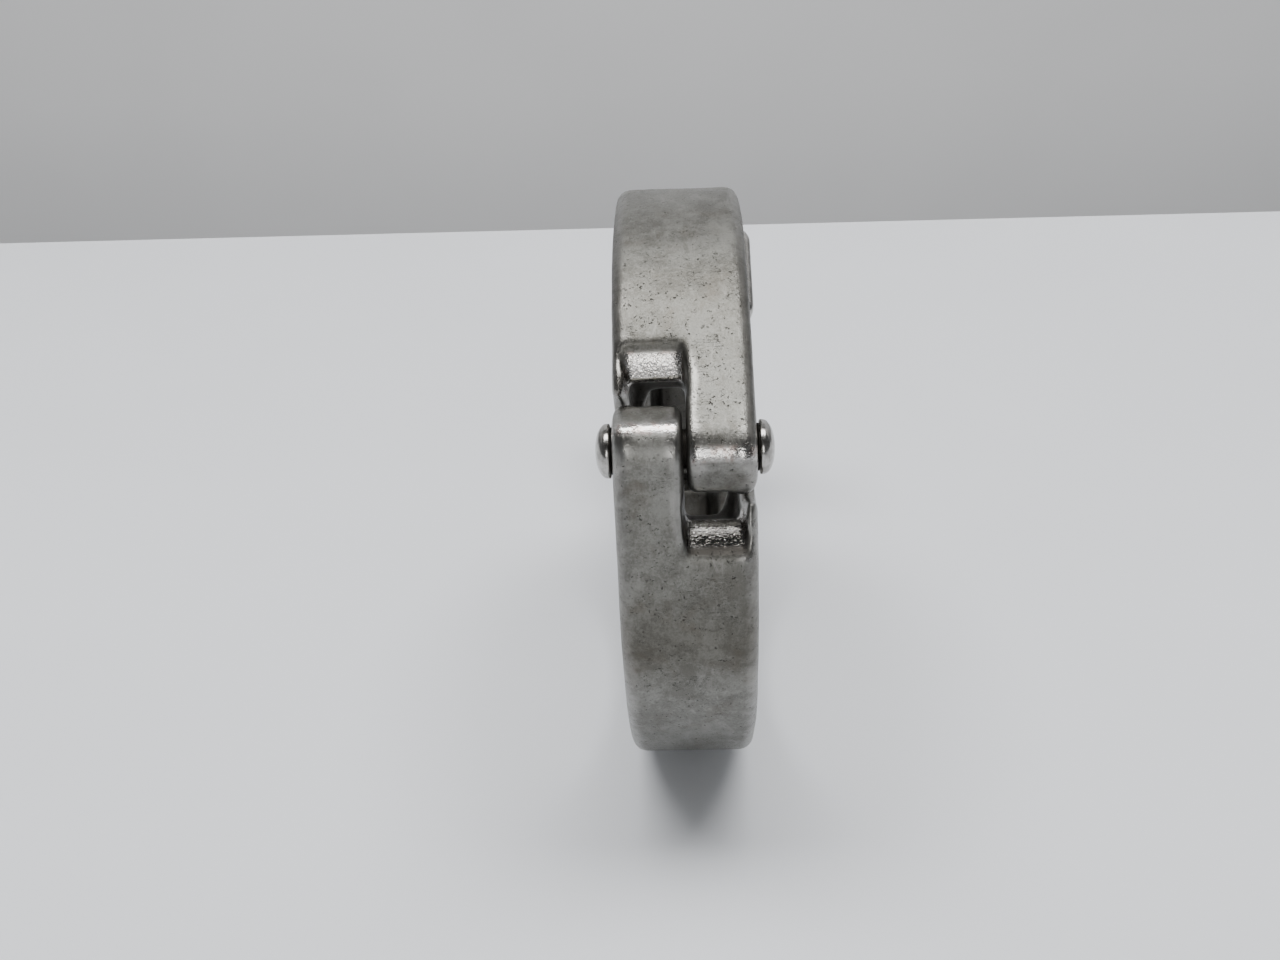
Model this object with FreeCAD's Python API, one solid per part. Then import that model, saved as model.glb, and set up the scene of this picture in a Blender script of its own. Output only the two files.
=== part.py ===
import FreeCAD, Part
import math
import os

from FreeCAD import Vector

# Two-inch hinged pipe-joint clamp: two cast half rings, a riveted hinge, and a swing bolt with a wing nut.
# Millimetres. +X is the pipe's axis, -Y the hinge side, +Z up. The origin is the centre of the pipe bore.
# The pieces are built with the parting plane level, and the whole clamp is then rolled about X until the
# ring's rim and the clevis ears stand on one level surface.

# Ring
body_r = 39.0             # outer radius of both halves
bore_r = 28.5             # inner radius of the cheeks, clear of the ferrule's neck
groove_r = 33.5           # floor of the ferrule groove
groove_floor_w = 7.0
groove_taper = 20.0       # degrees, each flank from square
body_w = 16.2
rim_round = 1.8           # outer corners of the ring
bore_round = 0.9
groove_mouth_round = 0.5
half_gap = 0.3            # lower half's end to the parting plane at the hinge, on the recess side
closure_gap = 1.2         # each half's end to the parting plane at the bolt side

# Hinge
pin_y = -37.2
lug_r = 5.0               # lug's end, round about the pin
lug_gap = 0.15            # each lug's inner face to the middle plane
lug_inner_round = 0.8
cheek_tip_w = 2.2         # outer strip of the lug that reaches a little further
cheek_tip_rise = 0.5
hinge_pin_r = 2.25
running_gap = 0.05        # radial clearance of the turning fits
fixed_gap = 0.01          # radial clearance of the riveted fits
rivet_head_r = 3.1
rivet_head_h = 1.7
collar_r = 2.7            # step under each rivet head
collar_h = 0.25
head_gap = 0.08           # collar to the half that turns

# Recess opposite the other half's lug
web_clear_r = 8.3         # hollow around the other lug, across the web
cheek_clear_r = 6.05      # the same, in the outer strip of the cheek
cheek_strip_w = 2.0
recess_top = 12.1         # from the parting plane to the recess's outer end
recess_step = 0.5         # depth of the small step at that end
recess_slope = 13.0       # degrees that the recess's face leans inwards
recess_side_w = 1.3       # ring's corner left beside the recess

# Closure
pivot_y = 45.5            # bolt's pivot
pivot_z = -8.4
bolt_lean = 12.0          # degrees that the closed bolt leans outwards
ear_r = 7.2               # clevis ears, round about the pivot
ear_underside = 13.5      # length of the clevis ears' flat underside
ear_underside_tilt = 10.0 # degrees that it rises inwards
slot_w = 8.8
slot_low_z = -19.0        # below the clevis ears
fork_slot_w = 9.2
seat_from_pivot = 22.4    # along the bolt, up to the nut's seat
fork_reach = 7.8          # fork's end beyond the bolt's axis
fork_seat_in = 15.4       # seat's inner end, from the bolt's axis
ear_round = 1.4
fork_corner_round = 2.6

# Bolt, washer and nut
eye_r = 5.8
eye_w = 8.4
bolt_r = 3.95
bolt_end = 54.0           # from the pivot
bolt_pin_r = 2.5
bolt_pin_head_r = 3.6
bolt_pin_head_h = 1.5
backed_off = 8.5          # washer's underside above the seat, as stored
washer_r = 7.0
washer_t = 1.4
washer_bore_r = 4.3
nut_gap = 0.05            # washer to nut
hub_base_r = 6.6
hub_top_r = 5.5
hub_h = 11.0
nut_bore_r = 4.0
wing_span_r = 19.0
wing_low = 0.6            # wing's underside at the hub, above the nut's base
wing_foot = 1.7           # wing's underside at its outer end
wing_top = 20.2
wing_t = 2.8
wing_turn = 40.0          # degrees from the ring's plane, as stored

roll_axis = Vector(1, 0, 0)
origin = Vector(0, 0, 0)


def roll_angle():
    """Roll that puts the ring's rim and the ears' rounds on one level plane."""
    reach = math.hypot(pivot_y, pivot_z)
    drop = math.degrees(math.atan2(-pivot_z, pivot_y))
    return math.degrees(math.asin((body_r - ear_r) / reach)) - drop


def rod(y, z, radius, x_low, x_high):
    return Part.makeCylinder(radius, x_high - x_low, Vector(x_low, y, z), Vector(1, 0, 0))


def side_prism(points, x_low, x_high):
    """A prism along X from (y, z) corners."""
    corners = [Vector(x_low, y, z) for y, z in points]
    face = Part.Face(Part.makePolygon(corners + corners[:1]))
    return face.extrude(Vector(x_high - x_low, 0, 0))


def block(x_low, x_high, y_low, y_high, z_low, z_high):
    size = (x_high - x_low, y_high - y_low, z_high - z_low)
    return Part.makeBox(*size, Vector(x_low, y_low, z_low))


def spun(points):
    """A solid of revolution about X from (x, radius) corners."""
    corners = [Vector(x, radius, 0) for x, radius in points]
    face = Part.Face(Part.makePolygon(corners + corners[:1]))
    return face.revolve(origin, Vector(1, 0, 0), 360)


def is_ring_edge(edge, x, radius):
    curve = edge.Curve
    if not isinstance(curve, Part.Circle):
        return False
    return abs(abs(curve.Center.x) - x) < 0.01 and abs(curve.Radius - radius) < 0.01


def groove_mouth():
    return groove_floor_w / 2 + (groove_r - bore_r) * math.tan(math.radians(groove_taper))


def full_ring():
    half_w = body_w / 2
    mouth = groove_mouth()
    floor = groove_floor_w / 2
    ring = spun([
        (-half_w, bore_r), (-half_w, body_r), (half_w, body_r), (half_w, bore_r),
        (mouth, bore_r), (floor, groove_r), (-floor, groove_r), (-mouth, bore_r),
    ])
    for x, radius, size in (
        (half_w, body_r, rim_round),
        (half_w, bore_r, bore_round),
        (mouth, bore_r, groove_mouth_round),
    ):
        edges = [edge for edge in ring.Edges if is_ring_edge(edge, x, radius)]
        ring = ring.makeFillet(size, edges)
    return ring


def groove_space():
    """What the ferrules' rims fill: kept clear in the lugs too."""
    floor = groove_floor_w / 2
    mouth = groove_mouth()
    return spun([(-mouth, bore_r - 4), (-mouth, bore_r), (-floor, groove_r), (floor, groove_r),
                 (mouth, bore_r), (mouth, bore_r - 4)])


def lug_slice(x_low, x_high, rise):
    """One slice of the hinge lug: a flat front, tangent to the ring, and a round end about the pin."""
    tangent = math.acos((body_r - lug_r) / -pin_y)
    away = Vector(0, -math.cos(tangent), -math.sin(tangent))
    along = Vector(0, away.z, -away.y)
    pin = Vector(x_low, pin_y, 0)
    foot = Vector(x_low, 0, 0) + away * body_r
    root = Vector(x_low, 0, 0) + away * (body_r - 4)
    tip = pin + along * rise
    tip_out = tip + away * lug_r
    tip_in = pin - away * lug_r
    heel = pin + Vector(0, lug_r, -lug_r)
    edges = [
        Part.makeLine(foot, tip_out),
        Part.Arc(tip_out, tip + along * lug_r, tip - away * lug_r).toShape(),
        Part.makeLine(tip_in, heel),
        Part.makeLine(heel, root),
        Part.makeLine(root, foot),
    ]
    if rise > 0:
        edges.insert(2, Part.makeLine(tip - away * lug_r, tip_in))
    return Part.Face(Part.Wire(edges)).extrude(Vector(x_high - x_low, 0, 0))


def outer_outline(shape, x):
    """Edges of a lug slice in the plane at x that run along its front and round its end."""
    found = []
    for edge in shape.Edges:
        box = edge.BoundBox
        if abs(box.XMin - x) > 0.01 or abs(box.XMax - x) > 0.01:
            continue
        middle = edge.valueAt((edge.FirstParameter + edge.LastParameter) / 2)
        from_pin = math.hypot(middle.y - pin_y, middle.z)
        in_front = middle.y < pin_y and middle.z < 0
        if in_front or (middle.z > 0 and from_pin > lug_r - 0.3):
            found.append(edge)
    return found


def hinge_lug():
    outer = lug_slice(-body_w / 2, -body_w / 2 + cheek_tip_w, cheek_tip_rise)
    outer = outer.makeFillet(rim_round, outer_outline(outer, -body_w / 2))
    inner = lug_slice(-body_w / 2 + cheek_tip_w, -lug_gap, 0.0)
    inner = inner.makeFillet(lug_inner_round, outer_outline(inner, -lug_gap))
    return outer.fuse(inner)


def hinge_recess():
    """Room on the +X side for the other half's lug: a hollow about the pin and a sloping pocket outside it."""
    half_w = body_w / 2
    inner_x = -lug_gap
    strip_x = half_w - cheek_strip_w
    web_hollow = rod(pin_y, 0, web_clear_r, inner_x, strip_x)
    cheek_hollow = rod(pin_y, 0, cheek_clear_r, inner_x, half_w + 1)
    above = block(inner_x, half_w + 1, -body_r - 10, -bore_r + 2, -half_gap, lug_r)
    outer_y = -math.sqrt(body_r ** 2 - recess_top ** 2)
    lean = math.tan(math.radians(recess_slope))
    low = recess_top - recess_step / 2
    step_y = outer_y + recess_step
    pocket = side_prism([
        (outer_y - 0.4, -recess_top),
        (step_y, -low),
        (step_y + (low - cheek_clear_r) * lean, -cheek_clear_r),
        (outer_y - 6, -cheek_clear_r),
        (outer_y - 6, -recess_top),
    ], inner_x, half_w)
    side_x = half_w - recess_side_w
    outline = [
        Vector(inner_x, -body_r - 6, -recess_top),
        Vector(side_x, -body_r - 6, -recess_top),
        Vector(side_x, -body_r - 6, -web_clear_r - 1.4),
        Vector(strip_x, -body_r - 6, -web_clear_r),
        Vector(strip_x, -body_r - 6, -cheek_clear_r + 1),
        Vector(inner_x, -body_r - 6, -cheek_clear_r + 1),
    ]
    window = Part.Face(Part.makePolygon(outline + outline[:1])).extrude(Vector(0, 20, 0))
    return web_hollow.fuse([cheek_hollow, above, pocket.common(window)])


def lower_ring_part():
    """Half of the ring below the parting plane, with its lug and recess."""
    half_w = body_w / 2 + 1
    below = block(-half_w, half_w, -body_r - 1, body_r + 1, -body_r - 1, 0)
    ring = full_ring().common(below)
    lug = hinge_lug().cut(groove_space())
    casting = ring.fuse(lug)
    casting = casting.cut(hinge_recess())
    return casting.cut(block(-half_w, half_w, 0, body_r + 1, -closure_gap, 1))


def bolt_point(along, across):
    """A (y, z) place given by its distance along the closed bolt and outwards from its axis."""
    lean = math.radians(bolt_lean)
    y = pivot_y + along * math.sin(lean) + across * math.cos(lean)
    z = pivot_z + along * math.cos(lean) - across * math.sin(lean)
    return y, z


def side_outline(shape, nearest_y):
    """Edges in the two side planes of an ear, from nearest_y outwards."""
    found = []
    for edge in shape.Edges:
        box = edge.BoundBox
        middle = edge.valueAt((edge.FirstParameter + edge.LastParameter) / 2)
        if box.XLength < 0.01 and middle.y > nearest_y:
            found.append(edge)
    return found


def clevis_ears():
    """Round ears of the lower half: a block as wide as the ring with a slot for the bolt's eye."""
    half_w = body_w / 2
    tilt = math.radians(ear_underside_tilt)
    pivot = Vector(-half_w, pivot_y, pivot_z)
    inner_top = Vector(-half_w, body_r - 4, pivot_z + ear_r)
    outer_top = pivot + Vector(0, 0, ear_r)
    outside = pivot + Vector(0, ear_r, 0)
    under = pivot + Vector(0, math.sin(tilt), -math.cos(tilt)) * ear_r
    root = under - Vector(0, math.cos(tilt), math.sin(tilt)) * ear_underside
    inside = Vector(-half_w, root.y - 3, root.z + 3)
    outline = Part.Wire([
        Part.makeLine(inner_top, outer_top),
        Part.Arc(outer_top, outside, under).toShape(),
        Part.makeLine(under, root),
        Part.makeLine(root, inside),
        Part.makeLine(inside, inner_top),
    ])
    ears = Part.Face(outline).extrude(Vector(body_w, 0, 0))
    ears = ears.makeFillet(ear_round, side_outline(ears, body_r))
    slot = rod(pivot_y, pivot_z, eye_r + 0.5, -slot_w / 2, slot_w / 2)
    out = block(-slot_w / 2, slot_w / 2, pivot_y, pivot_y + ear_r + 2, slot_low_z, 0)
    down = block(-slot_w / 2, slot_w / 2, pivot_y - eye_r - 0.5, pivot_y + 1, pivot_z, 0)
    below = block(-slot_w / 2, slot_w / 2, pivot_y - bolt_r - 0.8, pivot_y + 1, slot_low_z, pivot_z)
    return ears, slot.fuse([out, down, below])


def fork_ear():
    """Open fork of the upper half: its seat is square to the closed bolt."""
    half_w = body_w / 2
    seat_out = bolt_point(seat_from_pivot, fork_reach)
    seat_in = bolt_point(seat_from_pivot, -fork_seat_in)
    lean = math.tan(math.radians(bolt_lean))
    foot_y = seat_out[0] - (seat_out[1] - closure_gap) * lean
    ear = side_prism([
        (body_r - 4, closure_gap),
        (foot_y, closure_gap),
        seat_out,
        seat_in,
        (seat_in[0] - 2, seat_in[1] - 4),
    ], -half_w, half_w)
    corners = []
    for edge in ear.Edges:
        box = edge.BoundBox
        if box.XLength > body_w - 0.1 and box.YMin > foot_y - 0.5:
            corners.append(edge)
    ear = ear.makeFillet(fork_corner_round, corners)
    ear = ear.makeFillet(ear_round, side_outline(ear, body_r))
    start_y, start_z = bolt_point(0, 0)
    lean_dir = Vector(0, math.sin(math.radians(bolt_lean)), math.cos(math.radians(bolt_lean)))
    across_dir = Vector(0, lean_dir.z, -lean_dir.y)
    start = Vector(0, start_y, start_z)
    slot = Part.makeCylinder(fork_slot_w / 2, seat_from_pivot + 20, start, lean_dir)
    side = Vector(fork_slot_w / 2, 0, 0)
    mouth = [start - side, start + side, start + side + across_dir * 30, start - side + across_dir * 30]
    open_side = Part.Face(Part.makePolygon(mouth + mouth[:1])).extrude(lean_dir * (seat_from_pivot + 20))
    return ear, slot.fuse(open_side)


def turned_over(shape):
    """The same hinge end on the other half: half a turn about Y."""
    copy = shape.copy()
    copy.rotate(origin, Vector(0, 1, 0), 180)
    return copy


def lower_half():
    ears, slot = clevis_ears()
    casting = lower_ring_part().fuse(ears).cut(slot)
    casting = casting.cut(rod(pin_y, 0, hinge_pin_r + fixed_gap, -body_w, body_w))
    casting = casting.cut(rod(pivot_y, pivot_z, bolt_pin_r + fixed_gap, -body_w, body_w))
    return casting.removeSplitter()


def upper_half():
    ear, slot = fork_ear()
    casting = turned_over(lower_ring_part()).fuse(ear).cut(slot)
    casting = casting.cut(rod(pin_y, 0, hinge_pin_r + running_gap, -body_w, body_w))
    return casting.removeSplitter()


def dome(x, y, z, radius, height, side):
    """A rivet's domed head whose flat underside is at x."""
    ball_r = (radius ** 2 + height ** 2) / (2 * height)
    centre = Vector(x - side * (ball_r - height), y, z)
    ball = Part.makeSphere(ball_r, centre)
    near, far = sorted((x, x + side * (height + 1)))
    return ball.common(block(near, far, y - radius - 1, y + radius + 1, z - radius - 1, z + radius + 1))


def rivet(y, z, radius, head_r, head_h, x_low, x_high):
    shank = rod(y, z, radius, x_low, x_high)
    collars = [rod(y, z, collar_r, x_low, x_low + collar_h), rod(y, z, collar_r, x_high - collar_h, x_high)]
    heads = [dome(x_low, y, z, head_r, head_h, -1), dome(x_high, y, z, head_r, head_h, 1)]
    return shank.fuse(collars + heads).removeSplitter()


def hinge_pin():
    reach = body_w / 2 + collar_h
    return rivet(pin_y, 0, hinge_pin_r, rivet_head_r, rivet_head_h, -reach, reach + head_gap)


def bolt_pin():
    reach = body_w / 2 + collar_h
    return rivet(pivot_y, pivot_z, bolt_pin_r, bolt_pin_head_r, bolt_pin_head_h, -reach, reach)


def leaned(shape):
    """Turns a piece built upright on the pivot to the closed bolt's lean, and moves it there."""
    shape.rotate(origin, Vector(1, 0, 0), -bolt_lean)
    shape.translate(Vector(0, pivot_y, pivot_z))
    return shape


def swing_bolt():
    eye = rod(0, 0, eye_r, -eye_w / 2, eye_w / 2)
    rims = [edge for edge in eye.Edges if isinstance(edge.Curve, Part.Circle)]
    eye = eye.makeFillet(1.0, rims)
    neck = Part.makeCone(eye_w / 2, bolt_r, 4.0, Vector(0, 0, eye_r - 2.2))
    shank = Part.makeCylinder(bolt_r, bolt_end - 2, Vector(0, 0, 2))
    tip = [edge for edge in shank.Edges if abs(edge.BoundBox.ZMin - bolt_end) < 0.01
           and abs(edge.BoundBox.ZMax - bolt_end) < 0.01]
    shank = shank.makeChamfer(0.9, tip)
    bolt = eye.fuse([neck, shank]).removeSplitter()
    bolt = bolt.cut(rod(0, 0, bolt_pin_r + running_gap, -eye_w, eye_w))
    return leaned(bolt)


def seat_washer():
    base = seat_from_pivot + backed_off
    washer = Part.makeCylinder(washer_r, washer_t, Vector(0, 0, base))
    washer = washer.makeChamfer(0.25, [edge for edge in washer.Edges if isinstance(edge.Curve, Part.Circle)])
    washer = washer.cut(Part.makeCylinder(washer_bore_r, washer_t, Vector(0, 0, base)))
    return leaned(washer)


def wing():
    """One wing along +Y, standing on the nut's base plane."""
    foot = Vector(0, 2.0, wing_low)
    low_out = Vector(0, wing_span_r - 3.2, wing_foot)
    out_low = Vector(0, wing_span_r, wing_foot + 3.2)
    low_turn = Vector(0, wing_span_r - 0.94, wing_foot + 0.94)
    out_high = Vector(0, wing_span_r - 0.2, wing_top - 2.6)
    high_turn = Vector(0, wing_span_r - 2.6, wing_top)
    high_in = Vector(0, wing_span_r - 6.6, wing_top - 3.4)
    saddle = Vector(0, 8.0, hub_h + 0.2)
    inside = Vector(0, 2.0, hub_h - 1.0)
    edges = [
        Part.makeLine(foot, low_out),
        Part.Arc(low_out, low_turn, out_low).toShape(),
        Part.makeLine(out_low, out_high),
        Part.Arc(out_high, high_turn, high_in).toShape(),
        Part.makeLine(high_in, saddle),
        Part.makeLine(saddle, inside),
        Part.makeLine(inside, foot),
    ]
    face = Part.Face(Part.Wire(edges))
    face.translate(Vector(-wing_t / 2, 0, 0))
    blade = face.extrude(Vector(wing_t, 0, 0))
    rims = []
    for edge in blade.Edges:
        box = edge.BoundBox
        if box.XLength < 0.01 and box.YMax > 9.0:
            rims.append(edge)
    return blade.makeFillet(0.9, rims)


def wing_nut():
    hub = Part.makeCone(hub_base_r, hub_top_r, hub_h)
    hub = hub.makeFillet(0.8, [edge for edge in hub.Edges if isinstance(edge.Curve, Part.Circle)])
    right = wing()
    left = right.copy()
    left.rotate(origin, Vector(0, 0, 1), 180)
    nut = hub.fuse([right, left]).removeSplitter()
    nut = nut.cut(Part.makeCylinder(nut_bore_r, wing_top + 2, Vector(0, 0, -1)))
    nut.rotate(origin, Vector(0, 0, 1), wing_turn)
    nut.translate(Vector(0, 0, seat_from_pivot + backed_off + washer_t + nut_gap))
    return leaned(nut)


pieces = {
    "lower_half": lower_half,
    "upper_half": upper_half,
    "hinge_pin": hinge_pin,
    "swing_bolt": swing_bolt,
    "bolt_pin": bolt_pin,
    "seat_washer": seat_washer,
    "wing_nut": wing_nut,
}

os.makedirs("parts", exist_ok=True)
roll = roll_angle()
print("roll", round(roll, 3), "degrees")
for name, make in pieces.items():
    shape = make()
    if shape.ShapeType != "Solid" and len(shape.Solids) == 1:
        shape = shape.Solids[0]
    shape.rotate(origin, roll_axis, -roll)
    box = shape.BoundBox
    print(name, shape.ShapeType, "valid", shape.isValid(), "solids", len(shape.Solids),
          "volume", round(shape.Volume, 1), "z", round(box.ZMin, 2), round(box.ZMax, 2))
    shape.exportStep("parts/" + name + ".step")
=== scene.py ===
import math

import bmesh
import bpy
import numpy as np
import openvdb
from mathutils import Matrix, Vector


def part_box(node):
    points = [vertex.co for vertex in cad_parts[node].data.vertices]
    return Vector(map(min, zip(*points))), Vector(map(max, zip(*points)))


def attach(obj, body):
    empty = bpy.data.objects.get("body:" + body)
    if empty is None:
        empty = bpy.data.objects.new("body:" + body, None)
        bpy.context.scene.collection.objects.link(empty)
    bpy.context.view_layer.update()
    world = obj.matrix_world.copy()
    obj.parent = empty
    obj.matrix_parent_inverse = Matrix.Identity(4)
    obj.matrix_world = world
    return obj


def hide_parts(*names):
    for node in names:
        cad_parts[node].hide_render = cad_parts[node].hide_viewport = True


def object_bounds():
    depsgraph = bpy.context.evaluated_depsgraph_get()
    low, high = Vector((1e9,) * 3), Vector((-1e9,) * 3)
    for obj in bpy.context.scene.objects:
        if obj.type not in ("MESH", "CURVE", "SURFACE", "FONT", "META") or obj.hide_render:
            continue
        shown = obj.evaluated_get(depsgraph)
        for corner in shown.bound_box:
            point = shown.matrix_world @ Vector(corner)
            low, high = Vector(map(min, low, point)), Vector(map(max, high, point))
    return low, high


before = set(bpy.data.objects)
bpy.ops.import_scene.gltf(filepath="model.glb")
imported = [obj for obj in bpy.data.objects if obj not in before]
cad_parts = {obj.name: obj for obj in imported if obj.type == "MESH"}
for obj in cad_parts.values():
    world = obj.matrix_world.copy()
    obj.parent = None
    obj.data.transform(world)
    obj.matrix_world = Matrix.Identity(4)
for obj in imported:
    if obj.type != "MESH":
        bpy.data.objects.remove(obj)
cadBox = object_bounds()
print("frame loaded")

# The clamp is described upright, with its hinge at -Y and its parting plane level, and stands rolled about X.
# Lengths are in millimetres in that upright frame, and metres in the scene.
clampValues = {
    "ringRadius": 39.0,
    "hingeY": -37.2,
    "recessTop": 12.1,             # the recess's end that is farther from the hinge
    "boltStart": (45.5, -8.4),     # the bolt's pivot
    "boltLean": 12.0,              # degrees
    "earRadius": 7.2,
}
bodyOfNode = {
    "lower_half": "lower_half",
    "hinge_pin": "lower_half",
    "bolt_pin": "lower_half",
    "upper_half": "upper_half",
    "swing_bolt": "swing_bolt",
    "seat_washer": "seat_washer",
    "wing_nut": "wing_nut",
}
pivotReach = math.hypot(*clampValues["boltStart"])
pivotDrop = math.atan2(-clampValues["boltStart"][1], clampValues["boltStart"][0])
roll = math.asin((clampValues["ringRadius"] - clampValues["earRadius"]) / pivotReach) - pivotDrop
stand = Matrix.Rotation(-roll, 3, "X")
standArray = np.array(stand)
mm = 0.001


def smoothStep(low, high, value):
    t = np.clip((value - low) / (high - low), 0, 1)
    return t * t * (3 - 2 * t)


def meshObject(name, points, faces, material):
    data = bpy.data.meshes.new(name)
    data.from_pydata(points.tolist(), [], faces.tolist())
    data.materials.append(material)
    data.polygons.foreach_set("use_smooth", [True] * len(data.polygons))
    piece = bpy.data.objects.new(name, data)
    bpy.context.scene.collection.objects.link(piece)
    return piece


def mounted(piece, node):
    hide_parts(node)
    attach(piece, bodyOfNode[node])


# Node trees: a Signal is a socket that takes part in sums, and a Tree makes and links the nodes
class Signal:
    def __init__(self, tree, socket):
        self.tree = tree
        self.socket = socket

    def math(self, operation, *others, clamp=False):
        values = {i: v for i, v in enumerate((self,) + others)}
        return self.tree.add("ShaderNodeMath", {"operation": operation, "use_clamp": clamp}, values)

    def __add__(self, other):
        return self.math("ADD", other)

    def __radd__(self, other):
        return self.math("ADD", other)

    def __sub__(self, other):
        return self.math("SUBTRACT", other)

    def __rsub__(self, other):
        return self.tree.add("ShaderNodeMath", {"operation": "SUBTRACT"}, {0: other, 1: self})

    def __mul__(self, other):
        return self.math("MULTIPLY", other)

    def __rmul__(self, other):
        return self.math("MULTIPLY", other)

    def __truediv__(self, other):
        return self.math("DIVIDE", other)

    def clamped(self):
        return self.math("ADD", 0.0, clamp=True)

    def spread(self, low, high):
        return self.tree.add("ShaderNodeMapRange", {"clamp": True, "interpolation_type": "SMOOTHSTEP"},
                             {"Value": self, "From Min": low, "From Max": high})


class Tree:
    def __init__(self, nodeTree):
        self.tree = nodeTree
        self.tree.nodes.clear()

    def add(self, kind, settings=None, values=None, output=0):
        node = self.tree.nodes.new(kind)
        for key, value in (settings or {}).items():
            setattr(node, key, value)
        for key, value in (values or {}).items():
            self.feed(self.socketOf(node.inputs, key), value)
        return Signal(self, self.socketOf(node.outputs, output)) if len(node.outputs) else None

    def socketOf(self, sockets, key):
        if isinstance(key, int):
            return sockets[key]
        for socket in sockets:
            if socket.identifier == key:
                return socket
        return sockets[key]

    def feed(self, socket, value):
        if isinstance(value, Signal):
            self.tree.links.new(value.socket, socket)
        elif isinstance(value, tuple) and len(value) == 3 and socket.type == "RGBA":
            socket.default_value = (*value, 1)
        else:
            socket.default_value = value

    def mix(self, factor, low, high, blend="MIX"):
        return self.add("ShaderNodeMix", {"data_type": "RGBA", "blend_type": blend},
                        {"Factor_Float": factor, "A_Color": low, "B_Color": high}, "Result_Color")

    def noise(self, place, scale, detail=2.0, rough=0.5, distortion=0.0):
        return self.add("ShaderNodeTexNoise", None, {"Vector": place, "Scale": scale, "Detail": detail,
                                                     "Roughness": rough, "Distortion": distortion})

    def cells(self, place, scale):
        return self.add("ShaderNodeTexVoronoi", {"feature": "F1"}, {"Vector": place, "Scale": scale})

    def attribute(self, name):
        return self.add("ShaderNodeAttribute", {"attribute_name": name}, None, "Fac")

    def upright(self, stretch=(1, 1, 1), shift=(0, 0, 0)):       # places in the clamp's own millimetres
        place = self.add("ShaderNodeTexCoord", None, None, "Object")
        unrolled = self.add("ShaderNodeMapping", None, {"Vector": place, "Rotation": (roll, 0, 0),
                                                        "Scale": (1000, 1000, 1000)})
        return self.add("ShaderNodeMapping", None, {"Vector": unrolled, "Scale": stretch, "Location": shift})


def makeFinish(name, build):
    material = bpy.data.materials.new(name)
    material.use_nodes = True
    tree = Tree(material.node_tree)
    values = build(tree)
    surface = tree.add("ShaderNodeBsdfPrincipled", None, values)
    tree.add("ShaderNodeOutputMaterial", None, {"Surface": surface})
    return material


castingFinish = {
    "pale": (0.240, 0.2405, 0.224),
    "dark": (0.137, 0.1345, 0.122),
    "stain": (0.110, 0.088, 0.066),
    "speck": (0.025, 0.023, 0.020),
    "bright": (0.34, 0.334, 0.32),
    "paintedShade": (0.070, 0.066, 0.060),     # painted shade in the groove, the bore, the hollows beside the lugs, the gap between the lugs and the lower recess's face
    "polishedDark": (0.55, 0.535, 0.51),
    "polishedBright": (0.86, 0.845, 0.82),
    "rust": (0.24, 0.13, 0.10),
    "bandShadeColour": (0.55, 0.53, 0.50),         # what the bands of painted shade are multiplied by
    "roughness": 0.46,
    "polishedRoughness": 0.10,
    "wornRoughness": 0.26,
    "cloudScale": 0.13,                 # patterns for each millimetre
    "stainScale": 0.22,
    "mottleScale": 0.75,
    "speckScale": 0.95,
    "tinyScale": 2.1,
    "peelScale": 2.6,
    "grainScale": 3.4,
    "paintedGlintScale": 4.2,
    "fineScale": 8.0,
    "relief": 0.00007,                  # metres
}


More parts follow.
